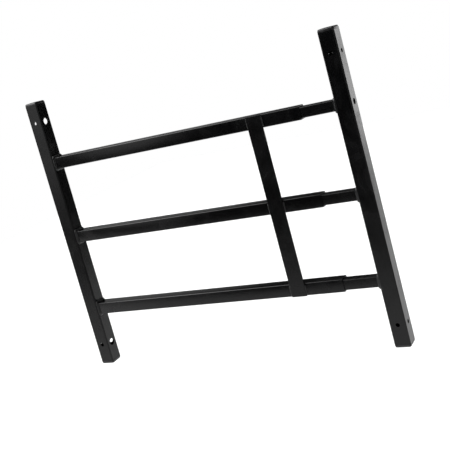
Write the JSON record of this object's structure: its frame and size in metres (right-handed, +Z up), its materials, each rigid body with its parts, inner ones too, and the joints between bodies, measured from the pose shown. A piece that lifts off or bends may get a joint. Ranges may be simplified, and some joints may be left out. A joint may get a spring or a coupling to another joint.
{
  "type": "window security bar",
  "caption": "Telescoping window guard: square posts joined by horizontal bars, inner tubes sliding in sleeves, flat upright brace, screw holes near the post ends.",
  "frame": {"origin": "middle of the closed guard's footprint, at the bottom of the lower end caps", "axes": "+X along the bars from the sleeve side to the sliding side, +Z up, -Y out of the front face that carries the brace"},
  "size_m": [0.578, 0.0254, 0.487],
  "materials": {
    "powder_coat": "satin black powder coat",
    "weld_coat": "satin black powder coat over rippled weld beads",
    "cap_plastic": "matte dark grey moulded plastic"
  },
  "bodies": {
    "sleeve_side": {"left_post": "powder_coat", "left_post_top_cap": "cap_plastic", "left_post_bottom_cap": "cap_plastic", "top_sleeve_tube": "powder_coat", "middle_sleeve_tube": "powder_coat", "bottom_sleeve_tube": "powder_coat", "brace_bar": "powder_coat", "left_post_top_welds": "weld_coat", "left_post_middle_welds": "weld_coat", "left_post_bottom_welds": "weld_coat", "brace_top_welds": "weld_coat", "brace_middle_welds": "weld_coat", "brace_bottom_welds": "weld_coat"},
    "slider_side": {"right_post": "powder_coat", "right_post_top_cap": "cap_plastic", "right_post_bottom_cap": "cap_plastic", "top_inner_tube": "powder_coat", "middle_inner_tube": "powder_coat", "bottom_inner_tube": "powder_coat", "right_post_top_welds": "weld_coat", "right_post_middle_welds": "weld_coat", "right_post_bottom_welds": "weld_coat"}
  },
  "joints": [
    {"name": "width_slide", "type": "slide", "parent": "sleeve_side", "child": "slider_side", "axis": [1, 0, 0], "range_m": [0, 0.4]}
  ]
}
